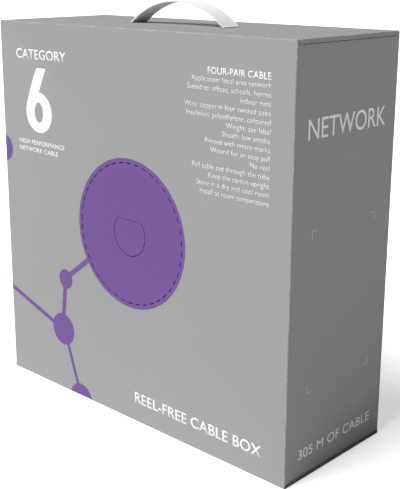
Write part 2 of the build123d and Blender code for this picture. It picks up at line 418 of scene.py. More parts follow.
def flute_ghost_group():
    """The faint ridges that flutes leave in a liner, along a direction."""
    tree, given, out = group(
        "Flute ghost",
        [("Across", "Vector", (1, 0, 0)), ("Pitch", "Float", 0.0079)],
        [("Height", "Float")],
    )
    along = vec(tree, "DOT_PRODUCT", object_place(tree), given["Across"], out=1)
    turns = calc(tree, "DIVIDE", calc(tree, "MULTIPLY", along, 2 * math.pi), given["Pitch"])
    tree.links.new(calc(tree, "COSINE", turns), out["Height"])


def plastic_grain_group():
    """Moulded plastic: fine texture, long flow marks and light scratches."""
    tree, given, out = group(
        "Moulded grain",
        [("Color", "Color", (0.5, 0.5, 0.5, 1)), ("Roughness", "Float", 0.4), ("Scratches", "Float", 0.3)],
        [("Color", "Color"), ("Roughness", "Float"), ("Height", "Float")],
    )
    place = object_place(tree)
    fine = noise(tree, place, 1800.0, 2.0)
    broad = noise(tree, place, 26.0, 3.0)
    streaks = noise(tree, vec(tree, "MULTIPLY", place, (0.08, 1.0, 1.0)), 900.0, 2.0)
    scratch = calc(tree, "MULTIPLY", ramp(tree, streaks, 0.66, 0.72), given["Scratches"])
    factor = calc(tree, "MULTIPLY_ADD", calc(tree, "SUBTRACT", broad, 0.5), 0.10, 1.0)
    varied = vec(tree, "SCALE", given["Color"])
    tree.links.new(factor, varied.node.inputs["Scale"])
    tree.links.new(varied, out["Color"])
    spread = calc(tree, "MULTIPLY_ADD", calc(tree, "SUBTRACT", broad, 0.5), 0.25, given["Roughness"])
    tree.links.new(calc(tree, "MULTIPLY_ADD", scratch, 0.25, spread), out["Roughness"])
    tree.links.new(calc(tree, "SUBTRACT", fine, scratch), out["Height"])


def build_groups():
    paper_grain_group()
    edge_wear_group()
    flute_ghost_group()
    plastic_grain_group()


# ---- materials


def new_material(name):
    material = bpy.data.materials.new(name)
    material.use_nodes = True
    tree = material.node_tree
    return material, tree, tree.nodes["Principled BSDF"]


def connect(tree, shader, colour_socket, roughness, height, bump, distance, specular=0.5):
    """Feed a surface's colour, roughness and bump."""
    tree.links.new(colour_socket, shader.inputs["Base Color"])
    tree.links.new(roughness, shader.inputs["Roughness"])
    shader.inputs["Specular IOR Level"].default_value = specular
    made = add_node(tree, "ShaderNodeBump", None, Strength=bump, Distance=distance, Height=height)
    tree.links.new(made.outputs[0], shader.inputs["Normal"])


def printed_board(name, rgb, across, board, low, high, wear=0.5):
    """Outer liner with a flood coat, ghost flutes, fibres and rubbed edges."""
    material, tree, shader = new_material(name)
    grain = use_group(tree, "Paper grain", Color=opaque(rgb), Mottle=0.07, Fibre_scale=700.0)
    mask = use_group(tree, "Edge wear", Low=low, High=high, Width=board.wear_width, Amount=wear)[0]
    surface = mix_colour(tree, mask, grain["Color"], opaque(board.scuffed))
    ghost = use_group(tree, "Flute ghost", Across=across, Pitch=board.flute_pitch)[0]
    height = calc(tree, "MULTIPLY_ADD", ghost, 0.16, grain["Height"])
    connect(tree, shader, surface, grain["Roughness"], height, 0.10, 0.0006, 0.35)
    return material


def paper(name, rgb, mottle, fibre_scale, bump, distance, specular):
    """Paper of one colour, with its fibres."""
    material, tree, shader = new_material(name)
    grain = use_group(tree, "Paper grain", Color=opaque(rgb), Mottle=mottle, Fibre_scale=fibre_scale)
    connect(tree, shader, grain["Color"], grain["Roughness"], grain["Height"], bump, distance, specular)
    return material


def bare_board(name, rgb, mottle=0.16):
    """Unprinted paper."""
    return paper(name, rgb, mottle, 420.0, 0.25, 0.0005, 0.25)


def ink(name, rgb):
    """Matt ink that lets a little of the fibres show."""
    return paper(name, rgb, 0.06, 700.0, 0.08, 0.0006, 0.35)


def cut_disc_board(name, rgb, board, front, thickness):
    """A solid board piece: inked in front, bare behind, with the flutes drawn on its cut edge in painted
    shade: near-black hollows, and the whole edge darkened.
    """
    material, tree, shader = new_material(name)
    inked = use_group(tree, "Paper grain", Color=opaque(rgb), Mottle=0.06, Fibre_scale=700.0)
    bare = use_group(tree, "Paper grain", Color=opaque(board.bare), Mottle=0.16, Fibre_scale=420.0)
    facing = add_node(tree, "ShaderNodeSeparateXYZ", None, _0=object_place(tree, "Normal")).outputs[1]
    place = add_node(tree, "ShaderNodeSeparateXYZ", None, _0=object_place(tree)).outputs
    depth = calc(tree, "SUBTRACT", place[1], front)
    turns = calc(tree, "MULTIPLY", place[0], 2 * math.pi / board.flute_pitch)
    wave = calc(tree, "MULTIPLY_ADD", calc(tree, "COSINE", turns), 0.33 * thickness, 0.5 * thickness)
    off_wave = calc(tree, "ABSOLUTE", calc(tree, "SUBTRACT", depth, wave))
    hollow = ramp(tree, off_wave, 0.00018, 0.00030)
    from_middle = calc(tree, "ABSOLUTE", calc(tree, "SUBTRACT", depth, 0.5 * thickness))
    liner = ramp(tree, from_middle, 0.5 * thickness - 0.0006, 0.5 * thickness - 0.0004)
    # Painted shade: the hollows between the medium and the liners, where there is only air, are drawn near
    # black.
    flute_hollow_shade = calc(tree, "MULTIPLY", hollow, calc(tree, "SUBTRACT", 1.0, liner))
    cut = mix_colour(tree, calc(tree, "MULTIPLY", flute_hollow_shade, 0.8), bare["Color"], (0.035, 0.032, 0.028, 1))
    is_front = calc(tree, "LESS_THAN", facing, -0.5)
    is_back = calc(tree, "GREATER_THAN", facing, 0.5)
    # Painted shade: the whole cut edge is darkened and tinted purple.
    cut = mix_colour(tree, 1.0, cut, opaque(board.cut), "MULTIPLY")
    surface = mix_colour(tree, is_back, cut, bare["Color"])
    surface = mix_colour(tree, is_front, surface, inked["Color"])
    connect(tree, shader, surface, inked["Roughness"], bare["Height"], 0.12, 0.0005, 0.3)
    return material


def moulded(name, rgb, roughness, scratches=0.3, bump=0.05):
    """Moulded plastic."""
    material, tree, shader = new_material(name)
    grain = use_group(tree, "Moulded grain", Color=opaque(rgb), Roughness=roughness, Scratches=scratches)
    connect(tree, shader, grain["Color"], grain["Roughness"], grain["Height"], bump, 0.0003)
    return material


def stretch_film(name):
    """Clear wrinkled film."""
    material, tree, shader = new_material(name)
    place = object_place(tree)
    wrinkles = noise(tree, vec(tree, "MULTIPLY", place, (1.0, 0.15, 1.0)), 160.0, 4.0, 0.6)
    alpha = calc(tree, "MULTIPLY_ADD", ramp(tree, wrinkles, 0.45, 0.75), 0.28, 0.10)
    tree.links.new(alpha, shader.inputs["Alpha"])
    tree.links.new(calc(tree, "MULTIPLY_ADD", wrinkles, 0.2, 0.08), shader.inputs["Roughness"])
    bump = add_node(tree, "ShaderNodeBump", None, Strength=0.5, Distance=0.001, Height=wrinkles)
    tree.links.new(bump.outputs[0], shader.inputs["Normal"])
    shader.inputs["Base Color"].default_value = (0.86, 0.88, 0.88, 1)
    return material


def dress(node, material):
    """Give a node from the frame its material, through its object's material slots."""
    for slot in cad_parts[node].material_slots:
        slot.material = material


# ---- corrugated boards

Board = namedtuple("Board", "node body outside flutes skin shaped")
BOARDS = [
    Board("front_panel", "carton", "-Y", "Z", "-Y -X +X +Z", True),
    Board("back_panel", "carton", "+Y", "Z", "+Y -X +X", False),
    Board("right_side_panel", "carton", "+X", "Z", "+X", True),
    Board("left_side_panel", "carton", "-X", "Z", "-X", True),
    Board("glue_flap", "carton", "+Y", "Z", "+Y", False),
    Board("bottom_minor_flap_right", "carton", "-Z", "X", "-Z +X", False),
    Board("bottom_minor_flap_left", "carton", "-Z", "X", "-Z -X", False),
    Board("bottom_major_flap_front", "carton", "-Z", "Y", "-Z -Y", False),
    Board("bottom_major_flap_back", "carton", "-Z", "Y", "-Z +Y", False),
    Board("lid_panel", "lid", "+Z", "Y", "+Z -Y +Y -X +X", True),
    Board("lid_tuck_flap", "tuck_flap", "-Y", "Z", "-Y", True),
    Board("dust_flap_right", "dust_right", "+Z", "X", "+Z +X", True),
    Board("dust_flap_left", "dust_left", "+Z", "X", "+Z -X", True),
]
UNPRINTED = ("glue_flap", "bottom_minor_flap_right", "bottom_minor_flap_left")


def direction(word):
    """A unit vector such as -Y."""
    made = Vector((0, 0, 0))
    made[AXIS[word[1]]] = -1.0 if word[0] == "-" else 1.0
    return made


def outer_liner(spec, low, high, board):
    """The liner over the outside, folded round the board's creased sides."""
    skin = [direction(word) for word in spec.skin.split()]
    shell = block(spec.node + "_liner", low, high)
    edit(shell, "FACE", lambda face: not any(face.normal.dot(side) > 0.9 for side in skin))
    bpy.ops.mesh.delete(type="FACE")
    if len(skin) > 1:
        edit(shell, "EDGE", lambda edge: len(edge.link_faces) == 2)
        radius = board.dust_radius if "dust" in spec.node else board.crease_radius
        bpy.ops.mesh.bevel(offset=radius, segments=5, affect="EDGES")
    leave_edit()
    return apply_modifier(shell, "SOLIDIFY", thickness=board.liner, offset=-1)


def inner_faces(spec, low, high, board):
    """The space between the liners, and the inner liner's own space, as (low, high) corners."""
    axis = AXIS[spec.outside[1]]
    low, high = Vector(low), Vector(high)
    for word in spec.skin.split():
        side = AXIS[word[1]]
        if side != axis:
            if word[0] == "-":
                low[side] += board.liner
            else:
                high[side] -= board.liner
    liner_low, liner_high = low.copy(), high.copy()
    if spec.outside[0] == "-":
        liner_low[axis] = high[axis] - board.liner
    else:
        liner_high[axis] = low[axis] + board.liner
    low[axis] += board.liner
    high[axis] -= board.liner
    return (low, high), (liner_low, liner_high)


def fluted_medium(spec, space, board):
    """A wavy sheet between the liners. Its waves run across the flutes."""
    low, high = space
    thick = AXIS[spec.outside[1]]
    along = AXIS[spec.flutes]
    across = 3 - thick - along
    steps = max(8, round((high[across] - low[across]) / board.flute_pitch * 10))
    deselect()
    bpy.ops.mesh.primitive_grid_add(x_subdivisions=steps, y_subdivisions=1, size=1)
    sheet = named(bpy.context.object, spec.node + "_medium")
    middle = (low + high) / 2
    size = high - low
    height = (size[thick] - board.medium) / 2
    for vertex in sheet.data.vertices:
        u, v = vertex.co.x, vertex.co.y
        place = Vector((0, 0, 0))
        place[across] = middle[across] + u * size[across]
        place[along] = middle[along] + v * size[along]
        place[thick] = middle[thick] + height * math.cos(2 * math.pi * place[across] / board.flute_pitch)
        vertex.co = place
    return apply_modifier(sheet, "SOLIDIFY", thickness=board.medium, offset=0)


def cut_to_node(obj, spec):
    """Trim a layered board to the outline, holes and slots of its node."""
    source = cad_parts[spec.node]
    cutter = bpy.data.objects.new(spec.node + "_cutter", source.data.copy())
    bpy.context.scene.collection.objects.link(cutter)
    weld(cutter)
    thick = AXIS[spec.outside[1]]
    middle = centre_of(spec.node)
    stretch = Vector((OUTLINE_STRETCH,) * 3)
    stretch[thick] = THROUGH_STRETCH
    for vertex in cutter.data.vertices:
        offset = vertex.co - middle
        vertex.co = middle + Vector([offset[i] * stretch[i] for i in range(3)])
    apply_modifier(obj, "BOOLEAN", operation="INTERSECT", solver="MANIFOLD", object=cutter)
    bpy.data.objects.remove(cutter)
    return obj


def sort_layers(obj, spec, low, high, board):
    """Give each face the material of its layer: 0 outer liner, 1 medium, 2 inner liner."""
    axis = AXIS[spec.outside[1]]
    near = 1.15 * board.liner
    skin = [(AXIS[word[1]], low if word[0] == "-" else high) for word in spec.skin.split()]
    for face in obj.data.polygons:
        place = face.center
        depth = place[axis] - low[axis] if spec.outside[0] == "-" else high[axis] - place[axis]
        if any(abs(place[side] - corner[side]) < near for side, corner in skin):
            face.material_index = 0
        elif depth > high[axis] - low[axis] - near:
            face.material_index = 2
        else:
            face.material_index = 1
    # Material 3, on the wall of the disc's hole, is the bare liner darkened with painted shade.
    if spec.node == "front_panel":
        middle = centre_of("knockout_disc")
        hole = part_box("knockout_disc")[1].x - middle.x + 0.6 * MM
        for face in obj.data.polygons:
            from_middle = math.hypot(face.center.x - middle.x, face.center.z - middle.z)
            if from_middle < hole and abs(face.normal.y) < 0.5:
                face.material_index = 3


class CABLEBOX_OT_boards(bpy.types.Operator):
    """Build every corrugated board with its liners and fluted medium"""

    bl_idname = "cablebox.boards"
    bl_label = "Corrugated boards"

    def execute(self, context):
        board = context.scene.cable_box.board
        low_all, high_all = self.carton_corners()
        bare = bare_board("bare liner", board.bare)
        fluting = bare_board("fluting", board.fluting, 0.22)
        # The die-cut edge material is the bare liner darkened and tinted purple: painted shade in the
        # slits.
        die_cut_shade = bare_board("die-cut edge shade", [a * b for a, b in zip(board.bare, board.cut)], 0.22)
        coats = {}
        for spec in BOARDS:
            low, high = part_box(spec.node)
            across = 3 - AXIS[spec.outside[1]] - AXIS[spec.flutes]
            between, liner = inner_faces(spec, low, high, board)
            layers = [
                outer_liner(spec, low, high, board),
                fluted_medium(spec, between, board),
                block(spec.node + "_inner", *liner),
            ]
            piece = joined(spec.node + "_board", layers)
            if spec.shaped:
                cut_to_node(piece, spec)
            if across not in coats:
                way = direction("+" + "XYZ"[across])
                coats[across] = printed_board(
                    "printed liner " + "xyz"[across], board.printed, way, board, low_all, high_all
                )
            outer = bare if spec.node in UNPRINTED else coats[across]
            coat(piece, outer, fluting, bare, die_cut_shade)
            sort_layers(piece, spec, low, high, board)
            smooth(piece)
            slot = "plain_board" if spec.node in UNPRINTED or "dust" in spec.node else "printed_board"
            finished(piece, spec.body, slot, spec.node)
        return {"FINISHED"}

    @staticmethod
    def carton_corners():
        """The corners of the closed carton, without the handle."""
        low = Vector([min(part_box(spec.node)[0][i] for spec in BOARDS) for i in range(3)])
        high = Vector([max(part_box(spec.node)[1][i] for spec in BOARDS) for i in range(3)])
        return low, high


class CABLEBOX_OT_knockout(bpy.types.Operator):
    """Finish the perforated disc and its thumb tab"""

    bl_idname = "cablebox.knockout"
    bl_label = "Knockout disc"

    def execute(self, context):
        settings = context.scene.cable_box
        low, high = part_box("knockout_disc")
        thickness = high.y - low.y
        purple = settings.print.purple
        material = cut_disc_board("inked board", purple, settings.board, low.y, thickness)
        dress("knockout_disc", material)
        dress("thumb_tab", material)
        return {"FINISHED"}


# ---- print

Face = namedtuple("Face", "corner turn width")


def carton_face(word):
    """A printable face: its lower left corner as seen from outside, its turn about Z, and its width."""
    low, high = CABLEBOX_OT_boards.carton_corners()
    width, depth = high.x - low.x, high.y - low.y
    return {
        "front": Face(Vector((low.x, low.y, low.z)), 0.0, width),
        "right": Face(Vector((high.x, low.y, low.z)), math.pi / 2, depth),
        "left": Face(Vector((low.x, high.y, low.z)), -math.pi / 2, depth),
    }[word]


def flat_disc(x, y, radius):
    deselect()
    bpy.ops.mesh.primitive_circle_add(vertices=96, radius=radius, fill_type="NGON", location=(x, y, 0))
    obj = bpy.context.object
    return apply_place(obj)


def flat_ring(x, y, outer, inner):
    deselect()
    place = (x, y, 0)
    bpy.ops.mesh.primitive_circle_add(vertices=192, radius=outer, fill_type="NOTHING", location=place)
    obj = bpy.context.object
    apply_place(obj)
    edit(obj, "EDGE", lambda edge: True)
    bpy.ops.mesh.extrude_edges_move()
    bpy.ops.transform.resize(value=(inner / outer, inner / outer, 1), center_override=place)
    leave_edit()
    return obj


def flat_bar(start, end, width):
    """A bar between two points."""
    start, end = Vector(start), Vector(end)
    run = end - start
    deselect()
    bpy.ops.mesh.primitive_plane_add(size=1, location=((start + end) / 2).to_3d())
    obj = bpy.context.object
    obj.rotation_euler.z = math.atan2(run.y, run.x)
    obj.scale = (run.length, width, 1)
    return apply_place(obj)


def flat_band(stations):
    """A tapering band from a list of (left, right, height), from the top down."""
    left, right, top = stations[0]
    deselect()
    bpy.ops.mesh.primitive_plane_add(size=1, location=((left + right) / 2, top - 0.5 * MM, 0))
    obj = bpy.context.object
    obj.scale = (right - left, MM, 1)
    apply_place(obj)
    lowest = min(vertex.co.y for vertex in obj.data.vertices)
    edit(obj, "EDGE", lambda edge: all(vertex.co.y < lowest + 0.1 * MM for vertex in edge.verts))
    middle, low, wide = (left + right) / 2, lowest, right - left
    for left, right, height in stations[1:]:
        move = ((left + right) / 2 - middle, height - low, 0)
        bpy.ops.mesh.extrude_edges_move(TRANSFORM_OT_translate={"value": move})
        middle, low = (left + right) / 2, height
        bpy.ops.transform.resize(value=((right - left) / wide, 1, 1), center_override=(middle, low, 0))
        wide = right - left
    leave_edit()
    return obj


def flat_six(w):
    """A bold figure 6: an oval bowl with a leaning stem that grows out of its left side."""
    bowl = flat_ring(0.155 * w, 0.7655 * w, 0.054 * w, 0.018 * w)
    edit(bowl, "VERT", lambda vertex: (vertex.co - Vector((0.155 * w, 0.7655 * w, 0))).length < 0.03 * w)
    bpy.ops.transform.resize(value=(1, 1.48, 1), center_override=(0.155 * w, 0.7655 * w, 0))
    leave_edit()
    outline = [
        (0.1515, 0.1890, 0.883),
        (0.1395, 0.1785, 0.862),
        (0.1285, 0.1680, 0.840),
        (0.1190, 0.1585, 0.820),
        (0.1105, 0.1480, 0.800),
        (0.1045, 0.1390, 0.783),
        (0.1012, 0.1340, 0.7655),
    ]
    stem = flat_band([(a * w, b * w, c * w) for a, b, c in outline])
    stem.location.z = 0.02 * MM
    apply_place(stem)
    return [bowl, stem]


def flat_text(words, weight, resolution):
    """Lettering at size 1, as a mesh."""
    deselect()
    bpy.ops.object.text_add()
    text = bpy.context.object
    text.data.body = words
    text.data.offset = weight
    text.data.resolution_u = resolution
    bpy.ops.object.convert(target="MESH")
    return bpy.context.object


def flat_words(words, left, right, bottom, top, weight=0.0):
    """Lettering that fills a rectangle."""
    obj = flat_text(words, weight, 6)
    xs = [vertex.co.x for vertex in obj.data.vertices]
    ys = [vertex.co.y for vertex in obj.data.vertices]
    scale_x = (right - left) / (max(xs) - min(xs))
    scale_y = (top - bottom) / (max(ys) - min(ys))
    obj.scale = (scale_x, scale_y, 1)
    obj.location = (left - min(xs) * scale_x, bottom - min(ys) * scale_y, 0)
    return apply_place(obj)


def flat_line(words, right, baseline, cap, weight, widening=1.03):
    """A line of lettering that ends at the right, on a baseline. cap is the height of a capital."""
    obj = flat_text(words, weight, 3)
    size = cap / CAPITAL
    scale_x = widening * size
    obj.scale = (scale_x, size, 1)
    obj.location = (right - scale_x * max(vertex.co.x for vertex in obj.data.vertices), baseline, 0)
    return apply_place(obj)


def clip(obj, point, outward):
    """Cut away what lies beyond a point in a direction."""
    edit(obj, "VERT", lambda vertex: True)
    bpy.ops.mesh.bisect(plane_co=point, plane_no=outward, clear_outer=True)
    leave_edit()
    return obj


def put_on_face(name, objects, face, material, body="carton", layer=1):
    """Join flat print, give it the ink's thickness and lay it on a face, one or two layers up."""
    inks = bpy.context.scene.cable_box.print
    obj = joined(name, objects)
    obj.location.z = layer * inks.lift
    apply_place(obj)
    edit(obj, "FACE", lambda each: each.normal.z < 0)
    bpy.ops.mesh.flip_normals()
    leave_edit()
    apply_modifier(obj, "SOLIDIFY", thickness=inks.film, offset=1)
    obj.rotation_euler = (math.pi / 2, 0, face.turn)
    obj.location = face.corner
    apply_place(obj)
    return finished(coat(obj, material), body, "printed_board")


SMALL_PRINT = (
    "Application: local area network",
    "Suited to: offices, schools, homes",
    "indoor runs",
    "Wire: copper in four twisted pairs",
    "Insulation: polyethylene, coloured",
    "Weight: see label",
    "Sheath: low smoke",
    "Printed with metre marks",
    "Wound for an easy pull",
    "No reel",
    "Pull cable out through the tube",
    "Keep the carton upright",
    "Store in a dry and cool room",
    "Install at room temperature",
)


class CABLEBOX_OT_front_print(bpy.types.Operator):
    """Print the front: a network graphic, the disc's border, lettering and small print"""

    bl_idname = "cablebox.front_print"
    bl_label = "Front print"

    def execute(self, context):
        settings = context.scene.cable_box.print
        face = carton_face("front")
        self.purple = ink("purple ink", settings.purple)
        self.white = ink("white ink", settings.white)
        self.graphic(face, settings)
        self.lettering(face)
        self.small_print(face, settings)
        return {"FINISHED"}

    def graphic(self, face, settings):
        """Round nodes and the lines between them, cut off at the left and bottom creases."""
        w = face.width
        middle = centre_of("knockout_disc") - face.corner
        low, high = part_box("knockout_disc")
        hole = (high.x - low.x) / 2 - 0.05 * MM
        ring = flat_ring(middle.x, middle.z, 0.1908 * w, hole)
        put_on_face("disc_border", [ring], face, self.purple, layer=2)
        self.tab_crease_shade(face, settings)
        nodes = [
            (0.2455, 0.3248, 0.027),
            (0.229, 0.177, 0.045),
            (0.298, -0.010, 0.045),
            (-0.005, 0.653, 0.037),
        ]
        discs = joined("network_nodes", [flat_disc(x * w, z * w, r * w) for x, z, r in nodes])
        lines = [
            ((0.345, 0.402), (0.258, 0.336), 0.014),
            ((0.243, 0.310), (0.230, 0.210), 0.015),
            ((0.200, 0.184), (-0.01, 0.252), 0.012),
            ((0.244, 0.145), (0.288, 0.020), 0.011),
        ]
        bars = [flat_bar((a[0] * w, a[1] * w), (b[0] * w, b[1] * w), t * w) for a, b, t in lines]
        links = joined("network_links", bars)
        edge = bpy.context.scene.cable_box.board.crease_radius
        for obj in (discs, links):
            clip(obj, (edge, 0, 0), (-1, 0, 0))
            clip(obj, (0, edge, 0), (0, -1, 0))
        put_on_face("network_links", [links], face, self.purple)
        put_on_face("network_nodes", [discs], face, self.purple, layer=2)
        self.wrapped_graphic(w, edge)

    def tab_crease_shade(self, face, settings):
        """Painted shade: a dark purple line along the crease at the straight top of the thumb tab."""
        low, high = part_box("thumb_tab")
        top = high.z - face.corner.z + 0.2 * MM
        middle = (low.x + high.x) / 2 - face.corner.x
        reach = 0.355 * (high.x - low.x)
        line = flat_bar((middle - reach, top), (middle + reach, top), 0.5 * MM)
        # Painted shade: a thin film of darker purple stands for the shade in the crease.
        material = ink("crease shade", [0.35 * part for part in settings.purple])
        put_on_face("tab_crease_shade", [line], face, material, "knockout")

    def wrapped_graphic(self, w, edge):
        """The rest of the graphic, where it runs on round the left corner."""
        side = carton_face("left")
        corner = side.width / w
        nodes = [(corner - 0.005, 0.653, 0.037), (corner - 0.115, 0.288, 0.030)]
        discs = joined("side_nodes", [flat_disc(x * w, z * w, r * w) for x, z, r in nodes])
        lines = [
            ((corner + 0.01, 0.246), (corner - 0.11, 0.286), 0.012),
            ((0.0, 0.40), (corner - 0.12, 0.293), 0.011),
        ]
        bars = [flat_bar((a[0] * w, a[1] * w), (b[0] * w, b[1] * w), t * w) for a, b, t in lines]
        links = joined("side_links", bars)
        for obj in (discs, links):
            clip(obj, (side.width - edge, 0, 0), (1, 0, 0))
            clip(obj, (edge, 0, 0), (-1, 0, 0))
        put_on_face("side_links", [links], side, self.purple)
        put_on_face("side_nodes", [discs], side, self.purple, layer=2)

    def lettering(self, face):
        """Plain generic words."""
        w = face.width
        lines = [
            ("CATEGORY", 0.067, 0.273, 0.904, 0.930, 0.014),
            ("HIGH PERFORMANCE", 0.066, 0.257, 0.677, 0.689, 0.0),
            ("NETWORK CABLE", 0.066, 0.229, 0.657, 0.669, 0.0),
            ("REEL-FREE CABLE BOX", 0.512, 0.932, 0.053, 0.082, 0.012),
        ]
        words = [flat_words(text, a * w, b * w, c * w, d * w, bold) for text, a, b, c, d, bold in lines]
        words += flat_six(w)
        put_on_face("front_lettering", words, face, self.white)

    def small_print(self, face, settings):
        """A right-aligned block of plain words with a bolder first line."""
        w = face.width
        right, first, pitch = 0.937 * w, 0.8975 * w, 0.0194 * w
        lines = [flat_line("FOUR-PAIR CABLE", right, 0.9150 * w, 0.0150 * w, 0.014)]
        for row, words in enumerate(SMALL_PRINT):
            lines.append(flat_line(words, right, first - row * pitch, 0.0122 * w, settings.thinning))
        put_on_face("small_print", lines, face, self.white)


class CABLEBOX_OT_side_print(bpy.types.Operator):
    """Print the right side: lettering and the corner marks for a label"""

    bl_idname = "cablebox.side_print"
    bl_label = "Side print"

    def execute(self, context):
        settings = context.scene.cable_box.print
        face = carton_face("right")
        w = carton_face("front").width
        white = bpy.data.materials["white ink"]
        words = [
            flat_words("NETWORK", 0.047 * w, 0.337 * w, 0.790 * w, 0.835 * w, 0.0),
            flat_words("305 M OF CABLE", 0.049 * w, 0.336 * w, 0.053 * w, 0.077 * w, 0.0),
        ]
        put_on_face("side_lettering", words, face, white)
        grey = ink("pale grey ink", settings.grey)
        arm, line = 0.018 * w, 0.0017 * w
        marks = []
        for x, towards_x in ((0.0735, 1), (0.314, -1)):
            for z, towards_z in ((0.590, -1), (0.211, 1)):
                corner = Vector((x * w, z * w))
                marks.append(flat_bar(corner, corner + Vector((towards_x * arm, 0)), line))
                upright = corner + Vector((0, towards_z * line / 2))
                marks.append(flat_bar(upright, upright + Vector((0, towards_z * arm)), line))
        put_on_face("label_marks", marks, face, grey)
        return {"FINISHED"}


# ---- strap handle


class CABLEBOX_OT_strap(bpy.types.Operator):
    """Spin the strap over its arch and finish its ends and load plate"""

    bl_idname = "cablebox.strap"
    bl_label = "Strap handle"

    def execute(self, context):
        settings = context.scene.cable_box.strap
        low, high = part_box("handle_strap")
        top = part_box("lid_panel")[1].z
        plastic = moulded("strap plastic", settings.plastic, 0.38, 0.2, 0.03)
        strap = self.arch(low, high, top, settings)
        coat(strap, plastic)
        finished(strap, "lid", "strap_plastic", "handle_strap")
        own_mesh(strap)
        for node in ("handle_end_left", "handle_end_right"):
            dress(node, plastic)
        dress("handle_load_plate", moulded("plate plastic", (0.52, 0.52, 0.50), 0.55, 0.5, 0.08))
        return {"FINISHED"}

    def arch(self, low, high, top, settings):
        thickness = STRAP_THICKNESS
        width = high.y - low.y
        half_span = (high.x - low.x - thickness) / 2
        rise = high.z - thickness / 2 - top
        radius = (half_span**2 + rise**2) / (2 * rise)
        middle = Vector((0, 0, top + rise - radius))
        foot_angle = math.asin(half_span / radius)
        deselect()
        bpy.ops.mesh.primitive_plane_add(size=1, location=(0, 0, top + rise), rotation=(0, math.pi / 2, 0))
        strap = named(bpy.context.object, "strap_handle")
        strap.scale = (thickness, width, 1)
        apply_place(strap)
        edit(strap, "FACE", lambda face: True)
        bpy.ops.transform.rotate(value=-foot_angle, orient_axis="Y", center_override=middle)
        bpy.ops.mesh.spin(steps=56, angle=2 * foot_angle, center=middle, axis=(0, 1, 0))
        leave_edit()
        weld(strap)

        def is_upper(face):
            outward = (face.calc_center_median() - middle).normalized()
            return face.normal.dot(outward) > 0.9

        edit(strap, "FACE", is_upper)
        bpy.ops.mesh.inset(thickness=settings.border, depth=-settings.recess, use_boundary=True)
        leave_edit()
        self.feet(strap, low, top)
        return apply_modifier(strap, "BEVEL", width=settings.edge, segments=2, limit_method="ANGLE")

    @staticmethod
    def feet(strap, low, top):
        """Straight legs from the ends of the arch down to the T-shaped ends."""

        def is_end(face):
            place = face.calc_center_median()
            outward = face.normal.x * place.x > 0 and face.normal.z < -0.6
            return outward and place.z < top + 2 * MM

        edit(strap, "FACE", is_end)
        bpy.ops.mesh.extrude_region_move(TRANSFORM_OT_translate={"value": (0, 0, low.z - top)})
        bpy.ops.transform.resize(value=(1, 1, 0), center_override=(0, 0, low.z))
        leave_edit()


# ---- coil


def ring(name, major, minor, sides=8, steps=96):
    """A ring round the coil's axis."""
    deselect()
    bpy.ops.mesh.primitive_torus_add(
        major_radius=major,
        minor_radius=minor,
        major_segments=steps,
        minor_segments=sides,
        rotation=(math.pi / 2, 0, 0),
    )
    obj = named(bpy.context.object, name)
    return apply_place(obj)


def weave(obj, swing, step):
    """Bend a ring into a loop that crosses from side to side twice a turn.

    The strand rides over its neighbours on the way out and under them on the way back.
    """
    for vertex in obj.data.vertices:
        x, y, z = vertex.co
        angle = math.atan2(z, x)
        radius = math.hypot(x, z)
        lift = step * math.tanh(2.5 * math.cos(2 * angle))
        grown = 1 + lift / radius
        vertex.co = Vector((x * grown, y + swing * math.sin(2 * angle), z * grown))


def copies_round(obj, count, span=math.pi):
    """Copies of a loop, each turned a little further about the coil's axis."""
    pieces = [obj]
    for index in range(1, count):
        copy = obj.copy()
        copy.data = obj.data.copy()
        bpy.context.scene.collection.objects.link(copy)
        copy.rotation_euler.y = span * index / count
        apply_place(copy)
        pieces.append(copy)
    return pieces


class CABLEBOX_OT_coil(bpy.types.Operator):
    """Wind the reel-free coil in crossing loops, and dress the film round it"""

    bl_idname = "cablebox.coil"
    bl_label = "Cable coil"

    def execute(self, context):
        settings = context.scene.cable_box.coil
        low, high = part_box("cable_coil")
        outer = (high.x - low.x) / 2
        half = (high.y - low.y) / 2
        thick = settings.cable / 2
        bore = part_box("payout_tube")[1].x + BORE_CLEARANCE
        swing = half - thick - 2 * MM
        over = ring("loop", outer - 2 * thick, thick)
        weave(over, swing, thick * 0.98)
        pieces = copies_round(over, settings.loops)
        inner = ring("bore_loop", bore + 2 * thick, thick, 7, 72)
        weave(inner, swing, -thick * 0.98)
        pieces += copies_round(inner, settings.bore_loops)
        pieces += self.side_turns(bore, outer, half, thick)
        pieces.append(self.core(bore + 3.2 * thick, outer - 3.6 * thick, half - 1.6 * thick))
        coil = joined("wound_cable", pieces)
        coil.location.z = (low.z + high.z) / 2
        apply_place(coil)
        coat(coil, moulded("cable jacket", settings.jacket, 0.42, 0.5, 0.06))
        smooth(coil, 60)
        finished(coil, "carton", "cable_jacket", "cable_coil")
        dress("coil_wrap_film", stretch_film("stretch film"))
        return {"FINISHED"}

    @staticmethod
    def side_turns(bore, outer, half, thick):
        """Turns that show on the coil's two sides."""
        draw = random.Random(305)
        turns = []
        radius = bore + 3 * thick
        while radius < outer - 3 * thick:
            for side in (-1, 1):
                turn = ring("side_turn", radius, thick, 6, 72)
                turn.rotation_euler = (draw.uniform(-0.006, 0.006), 0, draw.uniform(-0.006, 0.006))
                turn.location.y = side * (half - thick - 1.0 * MM)
                apply_place(turn)
                turns.append(turn)
            radius += 1.98 * thick
        return turns

    @staticmethod
    def core(inner, outer, half):
        """The dark inner turns, as one thick ring."""
        deselect()
        bpy.ops.mesh.primitive_plane_add(size=1, location=((inner + outer) / 2, 0, 0))
        core = named(bpy.context.object, "core")
        core.scale = (outer - inner, 2 * half, 1)
        apply_place(core)
        edit(core, "FACE", lambda face: True)
        bpy.ops.mesh.spin(steps=96, angle=2 * math.pi, center=(0, 0, 0), axis=(0, 1, 0))
        leave_edit()
        weld(core)
        return core


